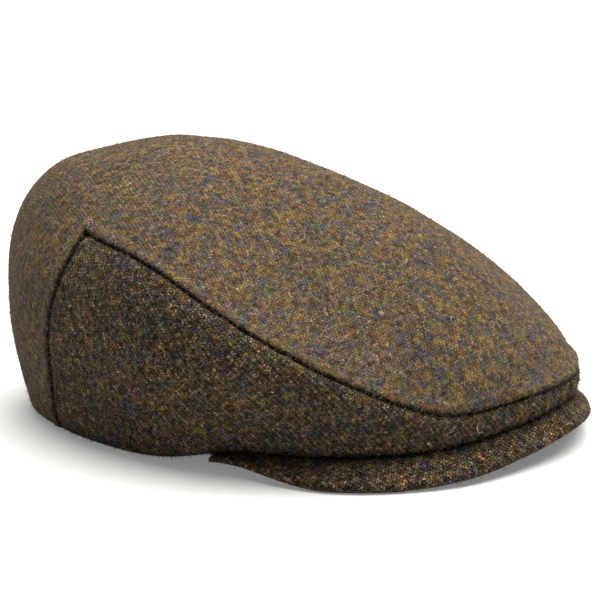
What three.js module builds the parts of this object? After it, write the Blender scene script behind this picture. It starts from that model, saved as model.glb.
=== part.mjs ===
import * as THREE from 'three';

// A tweed flat cap: one panel over the top and down the back, one panel on each side,
// and a stiff cloth-covered peak under the front.
// Millimetres, +Z up, the peak toward -Y, the rim resting on Z = 0.

// The head opening, measured outside the cloth.
const HEAD_WIDTH = 166;
const HEAD_LENGTH = 196;

// The crown, measured along the seam around its top panel.
const CROWN_WIDTH = 196;
const CROWN_LENGTH = 237;
const CROWN_FORWARD = 27.5;
const CROWN_HEIGHT = 116;
const HIGHEST_BACK = 23;
const FRONT_RISE = 19.5;

// The cloth and its seams.
const CLOTH_THICKNESS = 2.4;
const SEAM_GAP = 0.3;
const SEAM_DIP = 0.9;
const SEAM_ROLL = 3.5;

// The stiff peak.
const PEAK_THICKNESS = 4.8;
const PEAK_REACH = 11.5;
const PEAK_DROP = 8.7;
const PEAK_CLEARANCE = 0.3;

// Shares that shape the peak's section: how deep it is tucked in, in thicknesses of cloth,
// where its slope's shoulder stands, and how high its top meets the round edge.
const SECTION = { tuck: 1.5, shoulderOut: 0.3, shoulderDown: 0.12, crest: 0.94 };

// One row per station from the middle of the front to the middle of the back.
// foldX and foldY are shares of half the head opening and foldZ of FRONT_RISE.
// seamX and seamY are shares of half the crown's width and length and seamZ of its height.
// flare is the lower edge's slope outward and lean the seam's slope inward, in degrees.
// flat is the share of the way from the highest point to the seam that the top starts out level.
const CROWN_ROWS = [
  {
    foldX: 0.000, foldY: -1.485, foldZ: 1.00, flare: -6,
    seamX: 0.000, seamY: -0.995, seamZ: 0.247, lean: 27, flat: 0.37,
  },
  {
    foldX: 0.421, foldY: -1.389, foldZ: 0.85, flare: -1,
    seamX: 0.355, seamY: -0.925, seamZ: 0.242, lean: 27, flat: 0.34,
  },
  {
    foldX: 0.809, foldY: -1.160, foldZ: 0.63, flare: 11,
    seamX: 0.663, seamY: -0.760, seamZ: 0.230, lean: 28, flat: 0.34,
  },
  {
    foldX: 1.041, foldY: -0.794, foldZ: 0.53, flare: 20,
    seamX: 0.868, seamY: -0.548, seamZ: 0.321, lean: 44, flat: 0.37,
  },
  {
    foldX: 1.065, foldY: -0.370, foldZ: 0.40, flare: 24,
    seamX: 0.980, seamY: -0.301, seamZ: 0.444, lean: 52, flat: 0.37,
  },
  {
    foldX: 1.037, foldY: -0.017, foldZ: 0.06, flare: 22,
    seamX: 0.998, seamY: -0.034, seamZ: 0.584, lean: 59, flat: 0.38,
  },
  {
    foldX: 0.933, foldY: 0.294, foldZ: 0.00, flare: 18,
    seamX: 0.915, seamY: 0.258, seamZ: 0.705, lean: 59, flat: 0.40,
  },
  {
    foldX: 0.742, foldY: 0.600, foldZ: 0.00, flare: 18,
    seamX: 0.717, seamY: 0.569, seamZ: 0.761, lean: 50, flat: 0.43,
  },
  {
    foldX: 0.435, foldY: 0.875, foldZ: 0.00, flare: 18,
    seamX: 0.435, seamY: 0.820, seamZ: 0.842, lean: 39, flat: 0.43,
  },
  {
    foldX: 0.000, foldY: 0.983, foldZ: 0.00, flare: 16,
    seamX: 0.000, seamY: 0.995, seamZ: 0.880, lean: 52, flat: 0.41,
  },
];

// One row per station of the crown, from the middle of the front to just past the peak's ends.
// turn is the angle around the head opening, in degrees from the front.
// reach is a share of PEAK_REACH, drop of PEAK_DROP and thick of PEAK_THICKNESS.
const PEAK_ROWS = [
  { turn: 0, reach: 0.27, drop: 0.88, thick: 1.00 },
  { turn: 22, reach: 0.36, drop: 0.99, thick: 1.00 },
  { turn: 42, reach: 0.78, drop: 1.00, thick: 1.00 },
  { turn: 58, reach: 1.00, drop: 0.94, thick: 1.00 },
  { turn: 74, reach: 0.36, drop: 0.25, thick: 0.60 },
  { turn: 88, reach: -0.20, drop: 0.00, thick: 0.04 },
  { turn: 102, reach: -0.25, drop: 0.00, thick: 0.02 },
];

// Soft hollows pressed into the top, placed by shares of half the crown's width and length
// and of its height. depth is a share of CLOTH_THICKNESS and radius of CROWN_WIDTH.
const DENTS = [
  { name: 'back of the top', x: -0.05, y: 0.75, z: 0.97, depth: 0.9, radius: 0.09 },
  { name: 'behind the front lip', x: 0.30, y: -0.78, z: 0.52, depth: 0.6, radius: 0.11 },
  { name: 'back corner', x: -0.45, y: 0.60, z: 0.74, depth: 0.5, radius: 0.08 },
];

// Where the surfaces' guide points stand, as shares of the lengths they follow.
const GUIDES = { wall: 0.4, wallFront: 0.33, top: 0.27, rollMiddle: 0.4 };

// Rows, counted from the middle of the front: where the back seam runs, where the peak ends,
// and where and over how many rows the front's wall guides end.
const ROWS = { backSeam: 7, peakEnd: 4.3, frontEnd: 3.5, frontBlend: 3 };

// How finely the surfaces are cut.
const COLUMN_STEP = 0.27;
const TOP_RINGS = 11;
const WALL_RINGS = 7;
const PEAK_TOP_STEPS = 3;
const PEAK_ROLL_STEPS = 6;

const LAST_ROW = CROWN_ROWS.length - 1;
const UP = new THREE.Vector3(0, 0, 1);
const CROWN_MIDDLE = new THREE.Vector3(0, -CROWN_FORWARD, CROWN_HEIGHT / 2);
const CROWN_TOP = new THREE.Vector3(0, HIGHEST_BACK, CROWN_HEIGHT);
const MIRRORED_COLUMNS = ['foldX', 'seamX', 'turn'];

// The value of a column in a row; rows before the first and after the last are mirror images.
function rowValue(rows, column, index) {
  const last = rows.length - 1;
  const swaps = MIRRORED_COLUMNS.includes(column) ? -1 : 1;
  if (index < 0) return swaps * rowValue(rows, column, -index);
  if (index > last) return swaps * rowValue(rows, column, 2 * last - index);
  return rows[index][column];
}

// A smooth curve through a column's rows. Places below zero are on the -X side.
function along(rows, column, place) {
  const base = Math.floor(place);
  const f = place - base;
  const [a, b, c, d] = [-1, 0, 1, 2].map((step) => rowValue(rows, column, base + step));
  const cubic = 3 * b - a - 3 * c + d;
  const square = 2 * a - 5 * b + 4 * c - d;
  return 0.5 * (2 * b + (c - a) * f + square * f * f + cubic * f * f * f);
}

function foldPoint(place) {
  return new THREE.Vector3(
    along(CROWN_ROWS, 'foldX', place) * HEAD_WIDTH / 2,
    along(CROWN_ROWS, 'foldY', place) * HEAD_LENGTH / 2,
    Math.max(along(CROWN_ROWS, 'foldZ', place), 0) * FRONT_RISE,
  );
}

function seamPoint(place) {
  return new THREE.Vector3(
    along(CROWN_ROWS, 'seamX', place) * CROWN_WIDTH / 2,
    along(CROWN_ROWS, 'seamY', place) * CROWN_LENGTH / 2 - CROWN_FORWARD,
    along(CROWN_ROWS, 'seamZ', place) * CROWN_HEIGHT,
  );
}

// The level direction from under the crown's highest point out to the seam.
function outward(place) {
  const away = seamPoint(place).sub(CROWN_TOP);
  away.z = 0;
  return away;
}

// A direction that leans from upright toward the outside by an angle in degrees.
function leaning(out, degrees) {
  const angle = THREE.MathUtils.degToRad(degrees);
  return UP.clone().multiplyScalar(Math.cos(angle)).addScaledVector(out, Math.sin(angle));
}

function bezier(points, share) {
  const curve = new THREE.CubicBezierCurve3(...points);
  return curve.getPoint(share);
}

// The wall between the lower edge and the seam, share 0 to 1.
function wallPoint(place, share) {
  const fold = foldPoint(place);
  const seam = seamPoint(place);
  const out = outward(place).normalize();
  const nearFront = THREE.MathUtils.smoothstep(ROWS.frontEnd - Math.abs(place), 0, ROWS.frontBlend);
  const pull = THREE.MathUtils.lerp(GUIDES.wall, GUIDES.wallFront, nearFront) * fold.distanceTo(seam);
  const low = fold.clone().addScaledVector(leaning(out, along(CROWN_ROWS, 'flare', place)), pull);
  const high = seam.clone().addScaledVector(leaning(out, -along(CROWN_ROWS, 'lean', place)), -pull);
  return bezier([fold, low, high, seam], share);
}

// The top between the seam and the crown's highest point, share 0 to 1.
function topPoint(place, share) {
  const seam = seamPoint(place);
  const away = outward(place);
  const out = away.clone().normalize();
  const rise = GUIDES.top * seam.distanceTo(CROWN_TOP);
  const low = seam.clone().addScaledVector(leaning(out, -along(CROWN_ROWS, 'lean', place)), rise);
  const high = CROWN_TOP.clone().addScaledVector(away, along(CROWN_ROWS, 'flat', place));
  return bezier([seam, low, high, CROWN_TOP], share);
}

// How far a point moves for a full step of place or of share.
function speed(surface, place, share, alongPlace) {
  const step = 0.01;
  const moved = alongPlace ? surface(place + step, share) : surface(place, Math.abs(share - step));
  return moved.distanceTo(surface(place, share)) / step;
}

function outwardNormal(surface, place, share) {
  const step = 0.004;
  const low = Math.max(share - step, 0);
  const high = Math.min(share + step, 1);
  const across = surface(place + step, share).sub(surface(place - step, share));
  const up = surface(place, high).sub(surface(place, low));
  const normal = across.cross(up).normalize();
  const away = surface(place, share).sub(CROWN_MIDDLE);
  return normal.dot(away) < 0 ? normal.negate() : normal;
}

// How deep the dents press in at a point.
function dentDepth(point) {
  let depth = 0;
  for (const dent of DENTS) {
    const middle = new THREE.Vector3(
      dent.x * CROWN_WIDTH / 2,
      dent.y * CROWN_LENGTH / 2 - CROWN_FORWARD,
      dent.z * CROWN_HEIGHT,
    );
    const ratio = point.distanceTo(middle) / (dent.radius * CROWN_WIDTH);
    depth += dent.depth * CLOTH_THICKNESS * Math.exp(-ratio * ratio);
  }
  return depth;
}

// How far the cloth rolls in toward a seam that is so many millimetres away.
function seamDip(distance) {
  const ratio = Math.max(distance, 0) / SEAM_ROLL;
  return ratio < 1 ? SEAM_DIP * (1 - ratio) * (1 - ratio) : 0;
}

// A point's pair: on the outside of the cloth and on its inside.
function clothPair(surface, place, share, seamDistance) {
  const point = surface(place, share);
  const normal = outwardNormal(surface, place, share);
  const pressed = dentDepth(point) + seamDip(seamDistance);
  const outer = point.clone().addScaledVector(normal, -pressed);
  const inner = outer.clone().addScaledVector(normal, -CLOTH_THICKNESS);
  return { outer, inner };
}

// The lower edge is cut level, so that the rim lies flat.
function rimPair(place) {
  const outer = foldPoint(place);
  const normal = outwardNormal(wallPoint, place, 0);
  normal.z = 0;
  normal.normalize();
  return { outer, inner: outer.clone().addScaledVector(normal, -CLOTH_THICKNESS) };
}

// The signed volume inside a list of triangles.
function signedVolume(points, faces) {
  return faces.reduce((sum, [a, b, c]) => {
    const turn = points[b].clone().cross(points[c]);
    return sum + points[a].dot(turn) / 6;
  }, 0);
}

function solidGeometry(points, faces) {
  const turned = signedVolume(points, faces) < 0;
  const index = faces.flatMap(([a, b, c]) => (turned ? [a, c, b] : [a, b, c]));
  const geometry = new THREE.BufferGeometry();
  const flat = points.flatMap((point) => [point.x, point.y, point.z]);
  geometry.setAttribute('position', new THREE.Float32BufferAttribute(flat, 3));
  geometry.setIndex(index);
  geometry.computeVertexNormals();
  return geometry;
}

// Closes a sheet of cloth: its outside, its inside, and a wall along every free edge.
function clothSolid(pairs, faces) {
  const count = pairs.length;
  const points = [...pairs.map((pair) => pair.outer), ...pairs.map((pair) => pair.inner)];
  const used = new Set(faces.flatMap(([a, b, c]) => [`${a},${b}`, `${b},${c}`, `${c},${a}`]));
  const closed = [];
  for (const [a, b, c] of faces) {
    closed.push([a, b, c], [a + count, c + count, b + count]);
    for (const [from, to] of [[a, b], [b, c], [c, a]]) {
      if (used.has(`${to},${from}`)) continue;
      closed.push([to, from, from + count], [to, from + count, to + count]);
    }
  }
  return solidGeometry(points, closed);
}

// Two faces for each cell between two neighbouring lists of point numbers.
function strip(lower, upper) {
  const faces = [];
  for (let i = 0; i + 1 < lower.length; i += 1) {
    faces.push([lower[i], lower[i + 1], upper[i + 1]], [lower[i], upper[i + 1], upper[i]]);
  }
  return faces;
}

// Places from one row to another, evenly spaced, both ends left out.
function between(from, to) {
  const count = Math.round(Math.abs(to - from) / COLUMN_STEP);
  const places = [];
  for (let i = 1; i < count; i += 1) places.push(from + ((to - from) * i) / count);
  return places;
}

// Distances from a seam, in millimetres, at which its roll is cut.
const ROLL_DISTANCES = [SEAM_GAP / 2, SEAM_ROLL * GUIDES.rollMiddle, SEAM_ROLL];

// A place so many millimetres behind (or, below zero, in front of) the back seam.
function besideBackSeam(share, distance) {
  return ROWS.backSeam + distance / speed(wallPoint, ROWS.backSeam, share, true);
}

// The shares at which a wall is cut: even steps, then the roll up to the seam.
function wallShares(place) {
  const perShare = speed(wallPoint, place, 1, false);
  const roll = ROLL_DISTANCES.map((distance) => 1 - distance / perShare).reverse();
  const even = Array.from({ length: WALL_RINGS }, (_, i) => (roll[0] * i) / WALL_RINGS);
  return [...even, ...roll];
}

function topShares(place) {
  const perShare = speed(topPoint, place, 0, false);
  const roll = ROLL_DISTANCES.map((distance) => distance / perShare);
  const rest = 1 - roll[2];
  const even = Array.from({ length: TOP_RINGS - 1 }, (_, i) => roll[2] + (rest * (i + 1)) / TOP_RINGS);
  return [...roll, ...even];
}

// One side panel; side is -1 for the wearer's right (-X) and 1 for the left.
function sidePanel(side) {
  const rings = wallShares(1).length;
  const pairs = [];
  const numbers = [];
  for (let ring = 0; ring < rings; ring += 1) {
    const places = sidePlaces(ring);
    numbers.push(places.map((_, i) => pairs.length + i));
    for (const { place, toFront, toBack } of places) {
      const here = side * place;
      const share = wallShares(place)[ring];
      const toSeam = (1 - share) * speed(wallPoint, place, 1, false);
      const distance = Math.min(toSeam, toFront, toBack);
      pairs.push(ring === 0 ? rimPair(here) : clothPair(wallPoint, here, share, distance));
    }
  }
  const faces = numbers.slice(1).flatMap((upper, i) => strip(numbers[i], upper));
  return clothSolid(pairs, faces);
}

// The columns of a side panel, with their distances to the seams at its two ends.
function sidePlaces(ring) {
  const far = 2 * SEAM_ROLL;
  const share = wallShares(ROWS.backSeam)[ring];
  const perPlace = speed(wallPoint, 0, share, true);
  const front = ROLL_DISTANCES.map((distance) => ({
    place: distance / perPlace, toFront: distance, toBack: far,
  }));
  const back = [...ROLL_DISTANCES].reverse().map((distance) => ({
    place: besideBackSeam(share, -distance), toFront: far, toBack: distance,
  }));
  const middle = between(front[2].place, back[0].place);
  const inner = middle.map((place) => ({ place, toFront: far, toBack: far }));
  return [...front, ...inner, ...back];
}

// The places around the top panel, from the middle of the back round the -X side and on again.
function topPlaces(share) {
  const roll = ROLL_DISTANCES.map((distance) => besideBackSeam(share, distance));
  const half = [0, ...between(0, ROWS.backSeam), ROWS.backSeam, ...roll, ...between(roll[2], LAST_ROW)];
  const left = half.slice(1).reverse().map((place) => -place);
  return [-LAST_ROW, ...left, ...half];
}

// The panel over the top, with its flap down the back to the rim.
function topPanel() {
  const shares = wallShares(ROWS.backSeam);
  const ringPlaces = topPlaces(1);
  const cornerPlace = besideBackSeam(1, ROLL_DISTANCES[0]);
  const pairs = [];
  const rings = topShares(0).map((_, ring) => ringPlaces.map((place) => {
    const share = topShares(place)[ring];
    const toSeam = share * speed(topPoint, place, 0, false);
    const overFlap = Math.abs(place) > cornerPlace;
    const past = (Math.abs(place) - ROWS.backSeam) * speed(wallPoint, ROWS.backSeam, 1, true);
    const distance = overFlap ? Math.hypot(past, toSeam) : toSeam;
    return pairs.push(clothPair(topPoint, place, share, distance)) - 1;
  }));
  const underTop = CROWN_TOP.clone().addScaledVector(UP, -CLOTH_THICKNESS);
  const highest = { outer: CROWN_TOP.clone(), inner: underTop };
  const middle = pairs.push(highest) - 1;
  const inFlap = (place) => Math.abs(place) >= cornerPlace - 1e-9;
  const flapColumns = [...ringPlaces.keys()].filter((i) => inFlap(ringPlaces[i]));
  const flap = [...shares.keys()].slice(0, -1).map((ring) => {
    const places = topPlaces(shares[ring]);
    return flapColumns.map((column) => {
      const place = places[column];
      const past = Math.abs(place) - ROWS.backSeam;
      const distance = past * speed(wallPoint, ROWS.backSeam, shares[ring], true);
      if (ring === 0) return pairs.push(rimPair(place)) - 1;
      return pairs.push(clothPair(wallPoint, place, wallShares(place)[ring], distance)) - 1;
    });
  });
  const joined = (list) => [...list, list[0]];
  const faces = rings.slice(1).flatMap((upper, i) => strip(joined(rings[i]), joined(upper)));
  const lastRing = joined(rings[rings.length - 1]);
  for (let i = 0; i + 1 < lastRing.length; i += 1) faces.push([lastRing[i], lastRing[i + 1], middle]);
  // The flap runs from the +X back seam round the back to the -X one.
  const order = [...flapColumns.keys()];
  const firstRight = order.find((i) => ringPlaces[flapColumns[i]] > 0);
  const turned = [...order.slice(firstRight), ...order.slice(0, firstRight)];
  const flapRows = [...flap, flapColumns.map((column) => rings[0][column])];
  const rows = flapRows.map((row) => turned.map((i) => row[i]));
  faces.push(...rows.slice(1).flatMap((upper, i) => strip(rows[i], upper)));
  return clothSolid(pairs, faces);
}

// The level direction square to the lower edge, away from the head opening.
function foldOutward(place) {
  const step = 0.01;
  const run = foldPoint(place + step).sub(foldPoint(place - step));
  return new THREE.Vector3(run.y, -run.x, 0).normalize();
}

// The peak's section at a place: along its top from the head opening to the edge,
// round the edge, and back underneath.
function peakSection(place) {
  const turn = THREE.MathUtils.degToRad(along(PEAK_ROWS, 'turn', place));
  const thick = along(PEAK_ROWS, 'thick', place) * PEAK_THICKNESS;
  const fold = foldPoint(place);
  const out = foldOutward(place);
  const top = fold.z - PEAK_CLEARANCE;
  const inset = 1 - (2 * CLOTH_THICKNESS) / HEAD_WIDTH;
  const rim = new THREE.Vector3(
    Math.sin(turn) * (HEAD_WIDTH / 2) * inset,
    -Math.cos(turn) * (HEAD_LENGTH / 2) * inset,
    top,
  );
  const tuck = fold.clone().addScaledVector(out, -SECTION.tuck * CLOTH_THICKNESS).setZ(top);
  const radius = thick / 2;
  const reach = along(PEAK_ROWS, 'reach', place) * PEAK_REACH;
  const drop = along(PEAK_ROWS, 'drop', place) * PEAK_DROP;
  const edge = fold.clone().addScaledVector(out, reach);
  edge.z = Math.max(Math.min(fold.z - drop, top - radius), radius);
  const crest = edge.clone().addScaledVector(UP, radius * SECTION.crest);
  const shoulder = fold.clone().addScaledVector(out, SECTION.shoulderOut * reach);
  shoulder.setZ(THREE.MathUtils.lerp(top, crest.z, SECTION.shoulderDown));
  const upper = [];
  for (let i = 0; i <= PEAK_TOP_STEPS; i += 1) upper.push(rim.clone().lerp(tuck, i / PEAK_TOP_STEPS));
  const slope = new THREE.QuadraticBezierCurve3(tuck, shoulder, crest);
  upper.push(...slope.getPoints(PEAK_TOP_STEPS + 2).slice(1, -1));
  const roll = [];
  for (let i = 0; i <= PEAK_ROLL_STEPS; i += 1) {
    const angle = Math.PI * (0.5 - i / PEAK_ROLL_STEPS);
    const point = edge.clone().addScaledVector(out, radius * Math.cos(angle));
    roll.push(point.addScaledVector(UP, radius * Math.sin(angle)));
  }
  const under = upper.map((point) => point.clone().addScaledVector(UP, -thick)).reverse();
  under.forEach((point) => point.setZ(Math.max(point.z, 0)));
  return [...upper, ...roll, ...under];
}

// Closes a section across, cell by cell between its top and its underside.
function sectionFaces(section) {
  const faces = [];
  let low = 0;
  let high = section.length - 1;
  while (high - low > 1) {
    faces.push([section[low], section[low + 1], section[high]]);
    low += 1;
    if (high - low > 1) faces.push([section[low], section[high - 1], section[high]]);
    high -= 1;
  }
  return faces;
}

// The peak is cut at the same places as the lower edge of the side panels that it lies under.
function peakPlaces() {
  const places = sidePlaces(0).map(({ place }) => place);
  const half = places.filter((place) => place < ROWS.peakEnd - COLUMN_STEP / 2);
  half.push(ROWS.peakEnd);
  return [...half.map((place) => -place).reverse(), 0, ...half];
}

function peak() {
  const points = [];
  const sections = peakPlaces().map((place) => (
    peakSection(place).map((point) => points.push(point) - 1)
  ));
  const joined = (list) => [...list, list[0]];
  const faces = sections.slice(1).flatMap((next, i) => strip(joined(sections[i]), joined(next)));
  faces.push(...sectionFaces(sections[0]).map(([a, b, c]) => [a, c, b]));
  faces.push(...sectionFaces(sections[sections.length - 1]));
  return solidGeometry(points, faces);
}

const topCloth = new THREE.MeshStandardMaterial({ color: 0x6f5a42, roughness: 0.95, metalness: 0 });
const sideCloth = new THREE.MeshStandardMaterial({ color: 0x54453a, roughness: 0.95, metalness: 0 });
const peakCloth = new THREE.MeshStandardMaterial({ color: 0x5a4a3a, roughness: 0.95, metalness: 0 });

const cap = new THREE.Group();

function add(name, geometry, material) {
  const mesh = new THREE.Mesh(geometry, material);
  mesh.name = name;
  cap.add(mesh);
}

add('crown_top_panel', topPanel(), topCloth);
add('side_panel_right', sidePanel(-1), sideCloth);
add('side_panel_left', sidePanel(1), sideCloth);
add('peak', peak(), peakCloth);

// The origin is the middle of the footprint.
const bounds = new THREE.Box3().setFromObject(cap);
cap.position.y = -(bounds.min.y + bounds.max.y) / 2;

export default cap;
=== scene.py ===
import math

import bpy
import numpy as np
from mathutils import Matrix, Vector


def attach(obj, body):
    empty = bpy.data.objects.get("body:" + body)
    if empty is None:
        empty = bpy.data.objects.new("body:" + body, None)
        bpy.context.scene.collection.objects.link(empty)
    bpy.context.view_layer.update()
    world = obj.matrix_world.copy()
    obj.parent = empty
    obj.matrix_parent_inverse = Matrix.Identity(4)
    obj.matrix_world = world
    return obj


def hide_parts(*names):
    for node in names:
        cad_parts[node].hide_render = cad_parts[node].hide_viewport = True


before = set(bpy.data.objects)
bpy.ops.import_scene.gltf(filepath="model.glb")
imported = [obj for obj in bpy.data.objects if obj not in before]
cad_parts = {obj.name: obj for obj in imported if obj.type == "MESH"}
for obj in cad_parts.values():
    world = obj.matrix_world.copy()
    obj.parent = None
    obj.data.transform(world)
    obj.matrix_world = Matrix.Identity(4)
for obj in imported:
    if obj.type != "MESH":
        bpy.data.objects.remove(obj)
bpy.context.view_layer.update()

# A tweed flat cap: one panel over the top and down the back, one panel on each side,
# and a stiff cloth-covered peak under the front.
# The form is worked out in millimetres and made in metres, +Z up, the peak toward -Y.
MM = 0.001

# The head opening, measured outside the cloth.
HEAD_WIDTH = 166.0
HEAD_LENGTH = 196.0

# The crown, measured along the seam around its top panel.
CROWN_WIDTH = 196.0
CROWN_LENGTH = 237.0
CROWN_FORWARD = 27.5
CROWN_HEIGHT = 116.0
HIGHEST_BACK = 23.0
FRONT_RISE = 19.5

# The cloth, its seams and its hem.
CLOTH = 2.4
SEAM_GAP = 0.3
SEAM_DIP = 0.9
SEAM_ROLL = 3.5
FOLD_RADIUS = 1.7
CORNER = 5.0
RIDGE_HEIGHT = 0.55
RIDGE_WIDTH = 2.2
RIDGE_PLACE = 3.2
STITCH_DIP = 0.35
STITCH_PLACE = 7.5
HEM_ROLL = 3.0
HEM_LEAST = 0.7
HEM_LEVEL = 6.0
UNDER_TOP = 0.7
UNDER_TOP_WIDTH = 4.5
FRONT_LIP = 0.7
FRONT_LIP_END_ROW = 3
FRONT_LIP_BLEND_ROWS = 2

# The stiff peak.
PEAK_THICKNESS = 4.8
PEAK_REACH = 11.5
PEAK_DROP = 8.7
PEAK_CLEARANCE = 0.3
PEAK_END_ROW = 4.3
# How far the painted shade on the peak's top fades out from where it tucks under the side.
PEAK_SHADE = 4.0

# Shares that shape the peak's section: how deep it is tucked in, in thicknesses of cloth,
# where its slope's shoulder stands, and how high its top meets the round edge.
PEAK_SECTION = {"tuck": 1.5, "shoulder_out": 0.3, "shoulder_down": 0.12, "crest": 0.94}

# Columns of the crown, one value per station from the middle of the front to that of the back.
# fold_x and fold_y are shares of half the head opening and fold_z of FRONT_RISE.
# seam_x and seam_y are shares of half the crown's width and length and seam_z of its height.
# flare is the lower edge's slope outward and lean the seam's slope inward, in degrees.
# flat is the share of the way from the highest point to the seam that the top starts level.
# More than half of these values are a fit's, of the form to the photo's outline and seams,
# rounded. The rest come from a second fit or were set one by one.
CROWN = {
    "fold_x": (0.0, 0.421, 0.809, 1.041, 1.065, 1.037, 0.933, 0.742, 0.435, 0.0),
    "fold_y": (-1.485, -1.389, -1.16, -0.794, -0.37, -0.017, 0.294, 0.6, 0.875, 0.983),
    "fold_z": (1.0, 0.85, 0.63, 0.53, 0.4, 0.06, 0.0, 0.0, 0.0, 0.0),
    "flare": (-6, -1, 11, 20, 24, 22, 18, 18, 18, 16),
    "seam_x": (0.0, 0.355, 0.663, 0.868, 0.98, 0.998, 0.915, 0.717, 0.435, 0.0),
    "seam_y": (-0.995, -0.925, -0.76, -0.548, -0.301, -0.034, 0.258, 0.569, 0.82, 0.995),
    "seam_z": (0.247, 0.242, 0.23, 0.321, 0.444, 0.584, 0.705, 0.761, 0.842, 0.88),
    "lean": (27, 27, 28, 44, 52, 59, 59, 50, 39, 52),
    "flat": (0.37, 0.34, 0.34, 0.37, 0.37, 0.38, 0.4, 0.43, 0.43, 0.41),
}
LAST_ROW = 9
BACK_SEAM_ROW = 7
MIRRORED = ("fold_x", "seam_x", "turn")

# Columns of the peak at the same stations, from the middle of the front.
# turn is the angle around the head opening in degrees; reach, drop and thick are shares of
# the peak's own sizes.
PEAK = {
    "turn": (0, 22, 42, 58, 74, 88, 102),
    "reach": (0.27, 0.36, 0.78, 1.00, 0.36, -0.20, -0.25),
    "drop": (0.88, 0.99, 1.00, 0.94, 0.25, 0.0, 0.0),
    "thick": (1.0, 1.0, 1.0, 1.0, 0.60, 0.04, 0.02),
}

# Soft hollows in the top, and one swelling with a depth below zero: shares of half the crown's
# width and length and of its height, then depth as a share of CLOTH and radius as a share of
# CROWN_WIDTH.
DENTS = (
    {"x": -0.05, "y": 0.75, "z": 0.97, "depth": 0.9, "radius": 0.09},
    {"x": 0.30, "y": -0.78, "z": 0.52, "depth": 0.6, "radius": 0.11},
    {"x": -0.45, "y": 0.60, "z": 0.74, "depth": 0.5, "radius": 0.08},
    {"x": 0.48, "y": -0.47, "z": 0.44, "depth": -0.8, "radius": 0.16},
)

# Soft creases low on the sides: both ends in the same shares, then depth and width likewise.
# A depth below zero is a ridge.
CREASES = (
    {"start": (-0.90, -0.31, 0.29), "end": (-0.88, -0.04, 0.07), "depth": 0.42, "width": 0.028},
    {"start": (-0.93, -0.20, 0.34), "end": (-0.90, 0.06, 0.11), "depth": -0.30, "width": 0.034},
    {"start": (0.90, -0.26, 0.26), "end": (0.90, 0.02, 0.08), "depth": 0.36, "width": 0.030},
)

# Where the surfaces' guide points stand, as shares of the lengths they follow, and the rows
# at which and over which the front's guides end.
WALL_PULL = 0.4
WALL_PULL_FRONT = 0.33
TOP_RISE = 0.27
FRONT_END_ROW = 3.5
FRONT_BLEND_ROWS = 3

# The cloth's unevenness: how many waves, their lengths, phases and height, and how far from
# the hem they reach their full height.
WAVE_COUNT = 14
WAVE_LENGTHS = (26, 75)
WAVE_PHASES = 6.3
WAVE_HEIGHT = 0.16
WAVE_CLEAR_OF_HEM = 12

# How wide the painted shade in a seam and under the hem is, and the hem's as a share of a seam's.
SEAM_SHADE_WIDTH = 1.15
HEM_SHADE = 2.2
HEM_SHADE_SHARE = 0.8

# How finely the cloth is cut, and how far from a seam and from the hem its fold is cut.
CELL = 1.6
FOLD_CUTS = (SEAM_GAP / 2, 0.4, 0.75, 1.2, 1.8, 2.6)
HEM_CUTS = (0.0, 0.15, 0.4, 0.75, 1.2)
HEM_CUTS_END = 2.4

# How many sections the peak has, the steps over its flat, its slope and its round edge, and
# the step of the round edge along which its weave is measured.
PEAK_SECTIONS = 288
PEAK_FLAT_STEPS = 4
PEAK_SLOPE_STEPS = 11
PEAK_ROLL_STEPS = 14
PEAK_EDGE_STEP = 5

# A distance that is past every seam, hem and shade.
FAR = 99.0

UP = np.array([0.0, 0.0, 1.0])
CROWN_MIDDLE = np.array([0.0, -CROWN_FORWARD, CROWN_HEIGHT / 2])
CROWN_TOP = np.array([0.0, HIGHEST_BACK, CROWN_HEIGHT])


def row_values(values, index, odd):
    """A column's values at whole rows; rows past either end are mirror images."""
    last = len(values) - 1
    before = index < 0
    index = np.abs(index)
    past = index > last
    index = np.where(past, 2 * last - index, index)
    sign = np.where(before ^ past, -1.0, 1.0) if odd else 1.0
    return sign * np.asarray(values, float)[index]


def along(table, column, place):
    """A smooth curve through a column's rows. Places below zero are on the -X side."""
    place = np.asarray(place, float)
    base = np.floor(place).astype(int)
    f = place - base
    odd = column in MIRRORED
    a, b, c, d = (row_values(table[column], base + step, odd) for step in (-1, 0, 1, 2))
    cubic = 3 * b - a - 3 * c + d
    square = 2 * a - 5 * b + 4 * c - d
    return 0.5 * (2 * b + (c - a) * f + square * f * f + cubic * f * f * f)


def stacked(x, y, z):
    return np.stack(np.broadcast_arrays(x, y, z), -1)


def length_of(vectors):
    return np.linalg.norm(vectors, axis=-1, keepdims=True)


def unit(vectors):
    return vectors / np.maximum(length_of(vectors), 1e-9)


def smooth(value, low, high):
    t = np.clip((value - low) / (high - low), 0.0, 1.0)
    return t * t * (3 - 2 * t)


def fold_point(place):
    """A point of the crown's lower edge."""
    return stacked(
        along(CROWN, "fold_x", place) * HEAD_WIDTH / 2,
        along(CROWN, "fold_y", place) * HEAD_LENGTH / 2,
        np.maximum(along(CROWN, "fold_z", place), 0) * FRONT_RISE,
    )


def seam_point(place):
    """A point of the seam around the top panel."""
    return stacked(
        along(CROWN, "seam_x", place) * CROWN_WIDTH / 2,
        along(CROWN, "seam_y", place) * CROWN_LENGTH / 2 - CROWN_FORWARD,
        along(CROWN, "seam_z", place) * CROWN_HEIGHT,
    )


def outward(place):
    """The level way from under the crown's highest point out to the seam."""
    return (seam_point(place) - CROWN_TOP) * np.array([1.0, 1.0, 0.0])


def leaning(out, degrees):
    """A direction that leans from upright toward the outside."""
    angle = np.radians(degrees)[..., None]
    return UP * np.cos(angle) + out * np.sin(angle)


def bezier(a, b, c, d, share):
    s = np.asarray(share, float)[..., None]
    r = 1 - s
    return r**3 * a + 3 * r * r * s * b + 3 * r * s * s * c + s**3 * d


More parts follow.
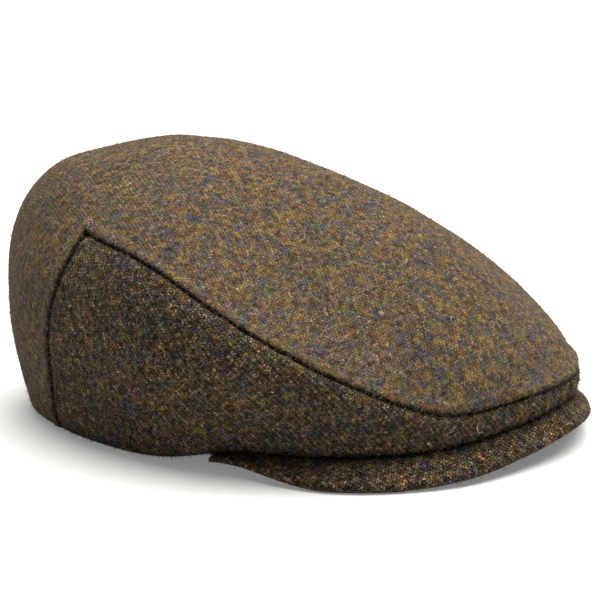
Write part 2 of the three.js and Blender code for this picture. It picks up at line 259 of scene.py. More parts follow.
def wall_point(place, share):
    """The wall between the lower edge and the seam, share 0 to 1."""
    fold = fold_point(place)
    seam = seam_point(place)
    out = unit(outward(place))
    near_front = smooth(FRONT_END_ROW - np.abs(place), 0, FRONT_BLEND_ROWS)[..., None]
    pull = (WALL_PULL + (WALL_PULL_FRONT - WALL_PULL) * near_front) * length_of(fold - seam)
    low = fold + leaning(out, along(CROWN, "flare", place)) * pull
    high = seam - leaning(out, -along(CROWN, "lean", place)) * pull
    return bezier(fold, low, high, seam, share)


def top_point(place, share):
    """The top between the seam and the crown's highest point, share 0 to 1."""
    seam = seam_point(place)
    away = outward(place)
    rise = TOP_RISE * length_of(seam - CROWN_TOP)
    low = seam + leaning(unit(away), -along(CROWN, "lean", place)) * rise
    high = CROWN_TOP + away * along(CROWN, "flat", place)[..., None]
    return bezier(seam, low, high, CROWN_TOP, share)


def outward_normal(surface, place, share):
    """The direction square to a surface, away from the crown's middle."""
    step = 0.004
    across = surface(place + step, share) - surface(place - step, share)
    up = surface(place, np.minimum(share + step, 1)) - surface(place, np.maximum(share - step, 0))
    normal = unit(np.cross(across, up))
    inward = (normal * (surface(place, share) - CROWN_MIDDLE)).sum(-1) < 0
    return np.where(inward[..., None], -normal, normal)


def place_speed(surface, place, share):
    """Millimetres that a point moves for a full step of place."""
    step = 0.01
    return length_of(surface(place + step, share) - surface(place, share))[..., 0] / step


def crown_place(x, y, z):
    """A point from shares of half the crown's width and length and of its height."""
    return np.array([x * CROWN_WIDTH / 2, y * CROWN_LENGTH / 2 - CROWN_FORWARD, z * CROWN_HEIGHT])


def dent_depth(points):
    """How deep the dents and creases press in at each point."""
    depth = np.zeros(points.shape[:-1])
    for dent in DENTS:
        middle = crown_place(dent["x"], dent["y"], dent["z"])
        ratio = length_of(points - middle)[..., 0] / (dent["radius"] * CROWN_WIDTH)
        depth += dent["depth"] * CLOTH * np.exp(-ratio * ratio)
    for crease_and_painted_shade in CREASES:
        start, end = crown_place(*crease_and_painted_shade["start"]), crown_place(*crease_and_painted_shade["end"])
        run = end - start
        share = np.clip((points - start) @ run / (run @ run), 0, 1)[..., None]
        ratio = length_of(points - start - run * share)[..., 0] / (crease_and_painted_shade["width"] * CROWN_WIDTH)
        depth += crease_and_painted_shade["depth"] * CLOTH * np.exp(-ratio * ratio)
    return depth


def soft_waves(points):
    """The cloth's unevenness: seeded random waves, a fraction of a millimetre high."""
    rng = np.random.default_rng(11)
    longest = WAVE_LENGTHS[1]
    total = np.zeros(points.shape[:-1])
    for _ in range(WAVE_COUNT):
        way = rng.normal(size=3)
        way /= np.linalg.norm(way)
        length = rng.uniform(*WAVE_LENGTHS)
        wave = np.sin(points @ way * 2 * math.pi / length + rng.uniform(0, WAVE_PHASES))
        total += wave * length / longest
    return total * WAVE_HEIGHT


def round_fold(distance, radius):
    """How far cloth has turned in at a distance from its folded edge."""
    left = np.clip(radius - distance, 0, radius)
    return radius - np.sqrt(radius * radius - left * left)


def seam_dip(distance):
    """How far the cloth's inside rolls in toward a seam."""
    ratio = np.clip(distance, 0, SEAM_ROLL) / SEAM_ROLL
    return SEAM_DIP * (1 - ratio) ** 2


def seam_ridge(distance):
    """The seam allowance lies under the top panel's edge and lifts it."""
    rise = RIDGE_HEIGHT * np.exp(-(((distance - RIDGE_PLACE) / RIDGE_WIDTH) ** 2))
    return rise - STITCH_DIP * np.exp(-(((distance - STITCH_PLACE) / RIDGE_WIDTH) ** 2))


def cloth_pair(surface, place, share, to_seam, to_hem, ridged):
    """Points on the outside and the inside of the cloth."""
    point = surface(place, share)
    normal = outward_normal(surface, place, share)
    level = smooth(to_hem, 0, HEM_LEVEL)
    normal = unit(normal * stacked(1.0, 1.0, level))
    pressed = dent_depth(point) + soft_waves(point) * smooth(to_hem, 0, WAVE_CLEAR_OF_HEM)
    outside = pressed + round_fold(to_seam, FOLD_RADIUS) + round_fold(to_hem, HEM_ROLL)
    if ridged:
        front = smooth(FRONT_LIP_END_ROW - np.abs(place), 0, FRONT_LIP_BLEND_ROWS)
        outside = outside - seam_ridge(to_seam) * (1 + FRONT_LIP * front)
    else:
        outside = outside + UNDER_TOP * np.exp(-((to_seam / UNDER_TOP_WIDTH) ** 2))
    inside = np.maximum(pressed + seam_dip(to_seam) + CLOTH, outside + HEM_LEAST)
    return point - normal * outside[..., None], point - normal * inside[..., None]


def painted_shade_of(to_seam, to_hem):
    """How deep in a seam or under the hem a point lies, 0 to 1: the weight of its painted shade."""
    seam = np.exp(-((to_seam / SEAM_SHADE_WIDTH) ** 2))
    hem = HEM_SHADE_SHARE * np.exp(-((to_hem / HEM_SHADE) ** 2))
    return np.maximum(seam, hem)


def share_at(surface, place, distances, from_end):
    """The shares at given distances along each column from its start or its end."""
    steps = np.linspace(0, 1, 65)
    line = surface(place[:, None], np.broadcast_to(steps, (len(place), len(steps))))
    parts = np.linalg.norm(np.diff(line, axis=1), axis=-1)
    run = np.concatenate([np.zeros((len(place), 1)), np.cumsum(parts, 1)], 1)
    whole = run[:, -1:]
    wanted = whole - distances if from_end else distances + 0 * whole
    found = np.array([np.interp(w, r, steps) for w, r in zip(wanted, run)])
    return found, wanted, whole


def column_lengths(surface, place):
    """The length of each column along its surface."""
    return share_at(surface, place, np.zeros((1, 1)), False)[2]


def even_cuts(start, whole, count):
    """Distances from start to each column's whole length, evenly spaced, both ends kept."""
    return start + (whole - start) * np.linspace(0, 1, count)


def wall_shares(place):
    """Shares and distances to the hem and the top seam, for every ring of a wall."""
    whole = column_lengths(wall_point, place)
    low = np.array(HEM_CUTS)
    cuts = np.array(FOLD_CUTS)
    count = int(round(whole.max() / CELL))
    middle = even_cuts(HEM_CUTS_END, whole - FOLD_CUTS[-1], count)
    wanted = np.concatenate([low + 0 * whole, middle[:, :-1], whole - cuts[::-1]], 1)
    found = share_at(wall_point, place, wanted, False)[0]
    return found, wanted, whole - wanted


def grid_faces(numbers, wrap=False):
    """Four-cornered faces over a grid of vertex numbers, rows by columns."""
    if wrap:
        numbers = np.concatenate([numbers, numbers[:, :1]], 1)
    a, b = numbers[:-1, :-1], numbers[:-1, 1:]
    c, d = numbers[1:, 1:], numbers[1:, :-1]
    return np.stack([a, b, c, d], -1).reshape(-1, 4)


def closed_cloth(outside, inside, faces):
    """Vertices and faces of a sheet with both sides and a wall along its free edges."""
    count = len(outside)
    heads = faces.ravel()
    tails = np.roll(faces, -1, axis=1).ravel()
    free = ~np.isin(heads * count + tails, tails * count + heads)
    a, b = heads[free], tails[free]
    rim = np.stack([b, a, a + count, b + count], 1)
    back = faces[:, ::-1] + count
    return np.concatenate([outside, inside]), np.concatenate([faces, back, rim])


def even_places(first, last):
    """Places between two rows, CELL apart at the height of the seam."""
    fine = np.linspace(first, last, 600)
    parts = np.linalg.norm(np.diff(seam_point(fine), axis=0), axis=-1)
    run = np.concatenate([[0], np.cumsum(parts)])
    count = int(round(run[-1] / CELL))
    return np.interp(np.linspace(0, run[-1], count + 1), run, fine)


def side_panel(side):
    """Outside, inside, faces and weave coordinates of one side panel."""
    cuts = np.array(FOLD_CUTS)
    front = cuts / place_speed(wall_point, np.array(0.0), np.array(0.5))
    back_row = np.array(float(BACK_SEAM_ROW))
    back = BACK_SEAM_ROW - cuts / place_speed(wall_point, back_row, np.array(0.5))
    middle = even_places(front[-1], back[-1])[1:-1]
    place = np.concatenate([front, middle, back[::-1]])
    share, to_hem, to_seam = wall_shares(place)
    place = np.repeat(place[:, None], share.shape[1], 1)
    edge = len(cuts)
    zero = np.zeros(share.shape[1])
    front_speed = place_speed(wall_point, zero, share[0])
    back_speed = place_speed(wall_point, zero + BACK_SEAM_ROW, share[-1])
    place[:edge] = cuts[:, None] / front_speed
    place[-edge:] = BACK_SEAM_ROW - cuts[::-1, None] / back_speed
    to_front = place * front_speed
    to_back = (BACK_SEAM_ROW - place) * back_speed
    corner = np.hypot(np.clip(CORNER - to_seam, 0, None), np.clip(CORNER - to_back, 0, None))
    rounded = np.clip(CORNER - corner, 0, None)
    nearest = np.minimum(rounded, np.minimum(to_seam, np.minimum(to_front, to_back)))
    outside, inside = cloth_pair(wall_point, side * place, share, nearest, to_hem, False)
    steps = np.linalg.norm(np.diff(outside[:, share.shape[1] // 2], axis=0), axis=-1)
    run = np.concatenate([[0], np.cumsum(steps)])
    weave = np.stack([np.repeat(run[:, None], share.shape[1], 1), to_hem], -1)
    numbers = np.arange(share.size).reshape(share.shape).T
    faces = grid_faces(numbers if side > 0 else numbers[:, ::-1])
    flat = (-1, 3)
    # The painted shade of each point, in the seams and under the hem.
    crease_and_painted_shade = painted_shade_of(nearest, to_hem).ravel()
    return outside.reshape(flat), inside.reshape(flat), faces, weave.reshape(-1, 2), crease_and_painted_shade


def top_panel():
    """Outside, inside, faces and weave coordinates of the top panel with its back flap."""
    cuts = np.array(FOLD_CUTS)
    corner = cuts / place_speed(wall_point, np.array(float(BACK_SEAM_ROW)), np.array(1.0))
    over = even_places(0, BACK_SEAM_ROW)
    behind = even_places(BACK_SEAM_ROW + corner[-1], LAST_ROW)
    half = np.concatenate([over, BACK_SEAM_ROW + corner, behind[1:]])
    ring = np.concatenate([-half[::-1], half[1:-1]])
    whole = column_lengths(top_point, ring)
    count = int(round(whole.mean() / CELL))
    distance = np.concatenate([cuts[:-1] + 0 * whole, even_cuts(cuts[-1], whole, count)[:, :-1]], 1)
    share = share_at(top_point, ring, distance, False)[0]
    place = np.repeat(ring[:, None], share.shape[1], 1)
    at_back = place * 0 + BACK_SEAM_ROW
    past = (np.abs(place) - BACK_SEAM_ROW) * place_speed(wall_point, at_back, place * 0 + 1.0)
    to_seam = np.where(past > 0, np.hypot(past, distance), distance)
    far = np.full(share.shape, FAR)
    outside, inside = cloth_pair(top_point, place, share, to_seam, far, True)
    bearing = np.arctan2(outward(ring)[:, 0], outward(ring)[:, 1])[:, None]
    radius = whole - distance
    weave = np.stack([radius * np.sin(bearing), radius * np.cos(bearing)], -1)
    numbers = np.arange(share.size).reshape(share.shape).T
    faces = [grid_faces(numbers, wrap=True)]
    size = share.size
    last = np.concatenate([numbers[-1], numbers[-1][:1]])
    tips = np.stack([last[:-1], last[1:], np.full(len(last) - 1, size)], 1)
    points = [outside.reshape(-1, 3), CROWN_TOP[None]]
    insides = [inside.reshape(-1, 3), (CROWN_TOP - UP * CLOTH)[None]]
    weaves = [weave.reshape(-1, 2), np.zeros((1, 2))]
    # The painted shade along the seam, and none at the highest point.
    creases = [painted_shade_of(to_seam, far).ravel(), np.zeros(1)]
    # The flap: the same columns behind the back seams, carried down to the hem.
    first = BACK_SEAM_ROW + corner[0] - 1e-9
    right = np.flatnonzero(ring > first)
    left = np.flatnonzero(ring < -first)
    chosen = np.concatenate([right, left])
    down, to_hem, to_top = wall_shares(ring[chosen])
    down, to_hem, to_top = down[:, :-1], to_hem[:, :-1], to_top[:, :-1]
    flap = np.repeat(ring[chosen][:, None], down.shape[1], 1)
    at_back = flap * 0 + BACK_SEAM_ROW
    speed = place_speed(wall_point, at_back, down)
    beside = (np.abs(flap) - BACK_SEAM_ROW) * place_speed(wall_point, at_back, flap * 0 + 1.0)
    near = beside < FOLD_CUTS[-1] + 1e-6
    moved = np.sign(flap) * (BACK_SEAM_ROW + beside / speed)
    flap = np.where(near, moved, flap)
    beside = (np.abs(flap) - BACK_SEAM_ROW) * speed
    outer, inner = cloth_pair(wall_point, flap, down, beside, to_hem, True)
    turn = np.arctan2(outward(ring[chosen])[:, 0], outward(ring[chosen])[:, 1])[:, None]
    reach = whole[chosen] + to_top
    points.append(outer.reshape(-1, 3))
    insides.append(inner.reshape(-1, 3))
    weaves.append(np.stack([reach * np.sin(turn), reach * np.cos(turn)], -1).reshape(-1, 2))
    # The flap's painted shade at its seams and under its hem.
    creases.append(painted_shade_of(beside, to_hem).ravel())
    below = size + 1 + np.arange(down.size).reshape(down.shape).T
    below = np.concatenate([below, numbers[0][chosen][None]])
    faces.append(grid_faces(below))
    return (
        np.concatenate(points),
        np.concatenate(insides),
        np.concatenate(faces),
        tips,
        np.concatenate(weaves),
        np.concatenate(creases),
    )


def fold_outward(place):
    """The level direction square to the lower edge, away from the head opening."""
    step = 0.01
    run = fold_point(place + step) - fold_point(place - step)
    return unit(stacked(run[..., 1], -run[..., 0], 0.0))


def peak_loop(place):
    """One section of the peak per place: its top, its round edge and its underside."""
    turn = np.radians(along(PEAK, "turn", place))
    thick = along(PEAK, "thick", place)[:, None] * PEAK_THICKNESS
    fold = fold_point(place)
    out = fold_outward(place)
    top = fold[:, 2] - PEAK_CLEARANCE
    inset = 1 - 2 * CLOTH / HEAD_WIDTH
    rim = stacked(
        np.sin(turn) * HEAD_WIDTH / 2 * inset, -np.cos(turn) * HEAD_LENGTH / 2 * inset, top
    )
    tuck = fold - out * PEAK_SECTION["tuck"] * CLOTH
    tuck[:, 2] = top
    radius = thick / 2
    reach = along(PEAK, "reach", place)[:, None] * PEAK_REACH
    drop = along(PEAK, "drop", place) * PEAK_DROP
    edge = fold + out * reach
    edge[:, 2] = np.maximum(np.minimum(fold[:, 2] - drop, top - radius[:, 0]), radius[:, 0])
    crest = edge + UP * radius * PEAK_SECTION["crest"]
    shoulder = fold + out * PEAK_SECTION["shoulder_out"] * reach
    shoulder[:, 2] = top + (crest[:, 2] - top) * PEAK_SECTION["shoulder_down"]
    flat = [rim + (tuck - rim) * s for s in np.linspace(0, 1, PEAK_FLAT_STEPS + 1)[:-1]]
    slope = [
        (1 - s) ** 2 * tuck + 2 * (1 - s) * s * shoulder + s * s * crest
        for s in np.linspace(0, 1, PEAK_SLOPE_STEPS + 1)[:-1]
    ]
    roll = [
        edge + out * radius * math.cos(a) + UP * radius * math.sin(a)
        for a in np.linspace(math.pi / 2, -math.pi / 2, PEAK_ROLL_STEPS + 1)
    ]
    upper = flat + slope
    under = [p - UP * thick for p in upper[::-1]]
    loop = np.stack(upper + roll + under, 0)
    loop[..., 2] = np.maximum(loop[..., 2], 0)
    return loop


def peak_mesh():
    """Points, faces, weave coordinates and painted shade of the peak."""
    count = PEAK_SECTIONS
    upper = PEAK_FLAT_STEPS + PEAK_SLOPE_STEPS
    on_edge = upper + PEAK_EDGE_STEP
    place = np.linspace(-PEAK_END_ROW, PEAK_END_ROW, count)
    loop = peak_loop(place)
    steps = np.linalg.norm(np.diff(loop, axis=0), axis=-1)
    across = np.concatenate([np.zeros((1, count)), np.cumsum(steps, 0)])
    edge_steps = np.linalg.norm(np.diff(loop[on_edge], axis=0), axis=-1)
    run = np.concatenate([[0], np.cumsum(edge_steps)])
    weave = np.stack([np.broadcast_to(run, across.shape), across], -1)
    numbers = np.arange(loop.shape[0] * count).reshape(loop.shape[0], count)
    faces = [grid_faces(numbers.T, wrap=True)]
    ends = []
    for column, turned in ((0, True), (count - 1, False)):
        ring = numbers[:, column]
        low, high = 0, len(ring) - 1
        while high - low > 2:
            corners = [ring[low], ring[low + 1], ring[high - 1], ring[high]]
            ends.append(corners[::-1] if turned else corners)
            low += 1
            high -= 1
    faces.append(np.array(ends))
    # Painted shade: full on the flats at the head opening, top and underside, and fading out down the
    # slope from under the side's hem.
    past_tuck = np.clip(across - across[PEAK_FLAT_STEPS], 0, None)
    past_tuck[upper:] = FAR
    past_tuck[-PEAK_FLAT_STEPS:] = 0
    crease_and_painted_shade = np.exp(-((past_tuck / PEAK_SHADE) ** 2)).ravel()
    return loop.reshape(-1, 3), np.concatenate(faces), weave.reshape(-1, 2), crease_and_painted_shade


def triangle_list(faces):
    return np.concatenate([faces[:, [0, 1, 2]], faces[:, [0, 2, 3]]])


def signed_volume(points, triangles):
    a, b, c = (points[triangles[:, k]] for k in range(3))
    return float((a * np.cross(b, c)).sum() / 6)


def make_object(name, points, faces, weave, crease_and_painted_shade, material):
    """A smooth-shaded mesh object, from millimetres, with its weave coordinates."""
    mesh = bpy.data.meshes.new(name)
    mesh.from_pydata((points * MM).tolist(), [], faces)
    mesh.update()
    layer = mesh.uv_layers.new(name="weave")
    corners = np.zeros(len(mesh.loops), np.int32)
    mesh.loops.foreach_get("vertex_index", corners)
    layer.data.foreach_set("uv", (weave[corners] * MM).astype(np.float32).ravel())
    mesh.polygons.foreach_set("use_smooth", np.ones(len(mesh.polygons), bool))
    mesh.materials.append(material)
    # Each point's weight of painted shade in the seams, under the hem and at the peak's tuck.
    depth = mesh.attributes.new("crease_and_painted_shade", "FLOAT", "POINT")
    depth.data.foreach_set("value", crease_and_painted_shade.astype(np.float32))
    made = bpy.data.objects.new(name, mesh)
    bpy.context.scene.collection.objects.link(made)
    return made


# Yarn colours of the tweed in linear light, and how common each is.
YARNS = (
    ("dark brown", (0.040, 0.032, 0.024), 0.20),
    ("mid brown", (0.138, 0.100, 0.058), 0.19),
    ("mustard", (0.270, 0.178, 0.042), 0.15),
    ("rust", (0.235, 0.104, 0.038), 0.10),
    ("brick", (0.140, 0.062, 0.038), 0.06),
    ("slate blue", (0.054, 0.074, 0.140), 0.10),
    ("purple", (0.085, 0.055, 0.100), 0.05),
    ("grey green", (0.085, 0.115, 0.068), 0.09),
    ("tan", (0.360, 0.285, 0.165), 0.06),
)

# The order in which the ramp takes the yarns, by number.
YARN_ORDER = (0, 2, 5, 1, 3, 7, 0, 6, 1, 4, 8)

# Clumps of one yarn: where their noise lies, the noise from which and at which they are full,
# and the yarn's number.
CLUMPS = (
    (0.31, 0.54, 0.64, 2),
    (0.31, 0.45, 0.35, 5),
    (0.93, 0.56, 0.66, 3),
    (0.93, 0.44, 0.34, 7),
    (0.62, 0.58, 0.68, 0),
    (0.62, 0.41, 0.31, 4),
)
CLUMP_SHARE = 0.64

# Sizes in the cloth, in millimetres: from one yarn to the next, and the lumps of each noise.
YARN_PITCH = 1.1
DRIFT_SIZE = 5.5
CLUMP_SIZE = 4.6
FIBRE_SIZE = 0.7
FINE_SIZE = 1.3
TUFT_SIZE = 2.3
BROAD_SIZE = 34.0

# How far the twill's lines wander: the noise's size in millimetres and the sway in metres.
SWAYS = ((5.0, 0.0018), (1.2, 0.0016))

# How much of a float's own yarn shows, how far floats shift the wool's colour, and how much
# light the painted shade leaves in the depth of a seam.
YARN_SHARE = 0.12
FLOAT_SHIFT = 0.1
SEAM_LIGHT = 0.08

# Loose fibres: the share that stands, how flat those run, how deep the roots lie and how far
# all stay above the ground, in millimetres.
STANDING = 0.55
STANDING_RUN = 0.45
ROOT_DEPTH = 0.08
GROUND_CLEARANCE = 0.05

# Loose fibres of each piece: the seed, how many short ones and stray curls, how bright they
# are and how much that varies. Those of the sides and the peak are darker by painted shade,
# and their wider spread partly stands in for light grazing them.
FIBRES = {
    "fuzz_top": {"seed": 1, "short": 30000, "strays": 40, "brightness": 0.73, "spread": 0.35},
    "fuzz_right": {"seed": 2, "short": 18000, "strays": 12, "brightness": 0.60, "spread": 0.75},
    "fuzz_left": {"seed": 3, "short": 18000, "strays": 12, "brightness": 0.60, "spread": 0.75},
    "fuzz_peak": {"seed": 4, "short": 14000, "strays": 5, "brightness": 0.58, "spread": 0.75},
}


class Tree:
    """A material's nodes, with short calls for the kinds used here."""

    def __init__(self, name):
        self.material = bpy.data.materials.new(name)
        self.material.use_nodes = True
        self.nodes = self.material.node_tree.nodes
        self.links = self.material.node_tree.links
        self.shader = self.nodes["Principled BSDF"]

    def put(self, socket, value):
        if isinstance(value, bpy.types.NodeSocket):
            self.links.new(value, socket)
        else:
            socket.default_value = value

    def node(self, kind, inputs, **settings):
        made = self.nodes.new(kind)
        for name, value in settings.items():
            setattr(made, name, value)
        for key, value in inputs.items():
            self.put(made.inputs[key], value)
        return made

    def math(self, operation, a, b=0.0):
        return self.node("ShaderNodeMath", {0: a, 1: b}, operation=operation).outputs[0]

    def vector(self, operation, a, b):
        made = self.node("ShaderNodeVectorMath", {0: a, 1: b}, operation=operation)
        return made.outputs[0]

    def noise(self, place, size, detail=2.0, roughness=0.5, colour=False):
        """Noise whose lumps are about size millimetres across."""
        inputs = {"Vector": place, "Scale": 1 / (size * MM), "Detail": detail, "Roughness": roughness}
        made = self.node("ShaderNodeTexNoise", inputs)
        return made.outputs["Color" if colour else "Fac"]

    def ramp(self, factor, stops, interpolation="LINEAR"):
        made = self.node("ShaderNodeValToRGB", {"Fac": factor})
        made.color_ramp.interpolation = interpolation
        elements = made.color_ramp.elements
        while len(elements) < len(stops):
            elements.new(0.5)
        for element, (position, colour) in zip(elements, stops):
            element.position = position
            element.color = (*colour, 1.0)
        return made.outputs["Color"]

    def grey(self, factor, low, high, dark, light):
        """The factor's range low to high turned into a range of values."""
        inputs = {0: factor, 1: low, 2: high, 3: dark, 4: light}
        return self.node("ShaderNodeMapRange", inputs).outputs[0]

    def mix(self, factor, a, b, blend="MIX"):
        made = self.node("ShaderNodeMix", {}, data_type="RGBA", blend_type=blend)
        self.put(made.inputs[0], factor)
        self.put(made.inputs[6], a)
        self.put(made.inputs[7], b)
        return made.outputs[2]


def yarn_stops():
    """The yarn colours laid along a ramp by how common they are, in YARN_ORDER."""
    shares = {k: YARNS[k][2] / YARN_ORDER.count(k) for k in set(YARN_ORDER)}
    stops, position = [], 0.0
    whole = sum(shares[k] for k in YARN_ORDER)
    for k in YARN_ORDER:
        stops.append((position, YARNS[k][1]))
        position += shares[k] / whole
    return stops


def wool_drift(t, place, shift):
    """The mixed wool's colour, in soft clumps a few millimetres across."""
    clump = t.noise(place, DRIFT_SIZE, 2.0, 0.6)
    drawn = t.math("ADD", t.grey(clump, 0.3, 0.7, 1.0, 3.4), shift)
    cloth = t.ramp(t.math("FRACT", drawn), yarn_stops(), "EASE")
    for away, low, high, yarn in CLUMPS:
        noise = t.noise(t.vector("ADD", place, (away, 0.17, 0.05)), CLUMP_SIZE, 2.0, 0.6)
        cloth = t.mix(t.grey(noise, low, high, 0.0, CLUMP_SHARE), cloth, (*YARNS[yarn][1], 1.0))
    return cloth


def twill(t, place):
    """Two-over-two twill: the height of its floats and a random colour for each float."""
    weave = t.node("ShaderNodeUVMap", {}, uv_map="weave").outputs["UV"]
    for size, sway in SWAYS:
        noise = t.vector("SUBTRACT", t.noise(place, size, 2.0, 0.55, colour=True), (0.5, 0.5, 0.5))
        weave = t.vector("ADD", weave, t.vector("MULTIPLY", noise, (sway, sway, 0.0)))
    at = t.node("ShaderNodeSeparateXYZ", {0: weave})
    u = t.math("DIVIDE", at.outputs[0], YARN_PITCH * MM)
    v = t.math("DIVIDE", at.outputs[1], YARN_PITCH * MM)
    end, pick = t.math("FLOOR", u), t.math("FLOOR", v)
    across_u, across_v = t.math("FRACT", u), t.math("FRACT", v)
    # 0 and 1: the warp lies on top; 2 and 3: the weft does.
    turn = t.math("FLOORED_MODULO", t.math("SUBTRACT", end, pick), 4.0)
    warp_up = t.math("LESS_THAN", turn, 1.5)
    warp_run = t.math("SUBTRACT", t.math("ADD", across_v, 1.0), turn)
    weft_run = t.math("ADD", across_u, t.math("SUBTRACT", turn, 2.0))
    heights = []
    for run, across in ((weft_run, across_v), (warp_run, across_u)):
        bow = t.math("SINE", t.math("MULTIPLY", run, math.pi / 2))
        round_yarn = t.math("MAXIMUM", t.math("SINE", t.math("MULTIPLY", across, math.pi)), 0.02)
        heights.append(t.math("MULTIPLY", bow, t.math("POWER", round_yarn, 0.7)))
    height = t.node("ShaderNodeMix", {0: warp_up, 2: heights[0], 3: heights[1]}).outputs[0]
    first_end = t.math("SUBTRACT", end, t.math("MAXIMUM", t.math("SUBTRACT", turn, 2.0), 0.0))
    back = t.math("MULTIPLY", warp_up, t.math("SUBTRACT", 1.0, turn))
    first_pick = t.math("SUBTRACT", pick, back)
    cell = t.node("ShaderNodeCombineXYZ", {0: first_end, 1: first_pick, 2: warp_up}).outputs[0]
    chance = t.node("ShaderNodeTexWhiteNoise", {"Vector": cell}, noise_dimensions="3D")
    return height, chance


def tweed(name, brightness, weave, sharp, soft, relief):
    """Woollen tweed: the floats of its twill and mixed yarn colours.

    weave is how strongly the floats show through their painted light and shade, sharp and soft how
    strongly the small and the wide differences of light do, and relief the height of the bumps in
    millimetres. brightness is the cloth's lightness; the side and peak copies have it lower as
    painted shade.
    """
    t = Tree(name)
    place = t.node("ShaderNodeTexCoord", {}).outputs["Object"]
    float_height, chance = twill(t, place)
    odds = t.node("ShaderNodeSeparateColor", {0: chance.outputs["Color"]})

    fibre = t.noise(place, FIBRE_SIZE, 2.0, 0.6)
    fine_noise = t.noise(place, FINE_SIZE, 2.0, 0.6, colour=True)
    fine = t.node("ShaderNodeSeparateColor", {0: fine_noise})
    tuft = t.noise(place, TUFT_SIZE, 2.0, 0.55)
    broad = t.noise(place, BROAD_SIZE, 2.0, 0.5)

    shift = t.math("MULTIPLY", t.math("SUBTRACT", odds.outputs[0], 0.5), FLOAT_SHIFT)
    yarn = t.ramp(chance.outputs[0], yarn_stops(), "CONSTANT")
    cloth = t.mix(YARN_SHARE, wool_drift(t, place, shift), yarn)
    # Painted light and shade of the twill's relief: darker between the floats, lighter on their
    # crowns.
    floats = t.math("POWER", t.grey(float_height, 0.0, 0.9, 0.12, 1.5), weave)
    close = t.grey(fibre, 0.36, 0.64, 0.5, 1.5)
    close = t.math("MULTIPLY", close, t.grey(odds.outputs[1], 0.0, 1.0, 0.5, 1.5))
    close = t.math("MULTIPLY", close, t.grey(fine.outputs[1], 0.35, 0.65, 0.75, 1.25))
    tufts = t.grey(tuft, 0.36, 0.64, 0.55, 1.45)
    wide = t.math("MULTIPLY", tufts, t.grey(broad, 0.3, 0.7, 0.93, 1.07))
    light = t.math("MULTIPLY", t.math("POWER", close, sharp), t.math("POWER", wide, soft))
    light = t.math("MULTIPLY", light, floats)
    # Painted shade in the seams, under the hem and at the peak's tuck, with a ragged edge from noise.
    crease_and_painted_shade = t.node("ShaderNodeAttribute", {}, attribute_name="crease_and_painted_shade").outputs["Fac"]
    crease_and_painted_shade = t.math("MULTIPLY", crease_and_painted_shade, t.grey(fine.outputs[2], 0.38, 0.6, 1.35, 0.75))
    open_light = t.grey(crease_and_painted_shade, 0.0, 1.0, brightness, brightness * SEAM_LIGHT)
    light = t.math("MULTIPLY", light, open_light)
    shade = t.node("ShaderNodeCombineColor", {0: light, 1: light, 2: light}).outputs[0]
    t.put(t.shader.inputs["Base Color"], t.mix(1.0, cloth, shade, "MULTIPLY"))

    rough = t.grey(fibre, 0.3, 0.7, 0.86, 1.0)
    t.put(t.shader.inputs["Roughness"], rough)
    t.put(t.shader.inputs["Specular IOR Level"], 0.06)
    t.put(t.shader.inputs["Sheen Weight"], 0.02)
    t.put(t.shader.inputs["Sheen Roughness"], 0.6)
    t.put(t.shader.inputs["Sheen Tint"], (0.78, 0.68, 0.50, 1.0))
    height = t.math("ADD", t.math("MULTIPLY", float_height, 1.2), t.math("MULTIPLY", fibre, 1.2))
    height = t.math("ADD", height, t.math("MULTIPLY", tuft, 2.2))
    bump = t.node("ShaderNodeBump", {"Strength": 1.0, "Distance": relief * MM, "Height": height})
    t.put(t.shader.inputs["Normal"], bump.outputs[0])
    return t.material


def wool_fibres(name):
    """Loose wool fibres: each tints and lightens the colour of the wool around it."""
    t = Tree(name)
    place = t.node("ShaderNodeTexCoord", {}).outputs["Object"]
    tint = t.node("ShaderNodeAttribute", {}, attribute_name="fibre").outputs["Color"]
    colour = t.mix(1.0, wool_drift(t, place, 0.0), tint, "MULTIPLY")
    t.put(t.shader.inputs["Base Color"], colour)
    t.put(t.shader.inputs["Roughness"], 0.85)
    t.put(t.shader.inputs["Specular IOR Level"], 0.1)
    t.put(t.shader.inputs["Sheen Weight"], 0.05)
    t.put(t.shader.inputs["Sheen Roughness"], 0.5)
    return t.material


def ribbons(rng, segments, roots, normals, length, turn, lift, width, stand):
    """Thin curled ribbons: vertices in fibre order, and the faces over them."""
    count = len(roots)
    any_way = rng.normal(size=(count, 3))
    first = unit(any_way - (any_way * normals).sum(-1, keepdims=True) * normals)
    second = np.cross(normals, first)
    share = np.linspace(0, 1, segments + 1)
    middle = (share[1:] + share[:-1]) / 2
    angle = turn[:, None] * (middle - 0.5)
    step = length[:, None] / segments
    x = np.concatenate([np.zeros((count, 1)), np.cumsum(np.cos(angle) * step, 1)], 1)
    y = np.concatenate([np.zeros((count, 1)), np.cumsum(np.sin(angle) * step, 1)], 1)
    loop = 4 * share * (1 - share)
    rise = lift[:, None] * np.where(stand[:, None], share, loop) - ROOT_DEPTH
    flat = np.where(stand[:, None], STANDING_RUN, 1.0)
    line = roots[:, None] + first[:, None] * (x * flat)[..., None]
    line = line + second[:, None] * (y * flat)[..., None] + normals[:, None] * rise[..., None]
    ahead = np.gradient(line, axis=1)
    facing = np.where(stand[:, None], any_way, normals)
    sideways = unit(np.cross(ahead, facing[:, None]))
    taper = 1 - 0.6 * np.abs(2 * share - 1) ** 3
    sideways = sideways * (width[:, None] * taper)[..., None] / 2
    points = np.stack([line - sideways, line + sideways], 2).reshape(-1, 3)
    base = (np.arange(count) * 2 * (segments + 1))[:, None]
    k = 2 * np.arange(segments)[None]
    faces = np.stack([base + k, base + k + 2, base + k + 3, base + k + 1], -1).reshape(-1, 4)
    return points, faces, 2 * (segments + 1)


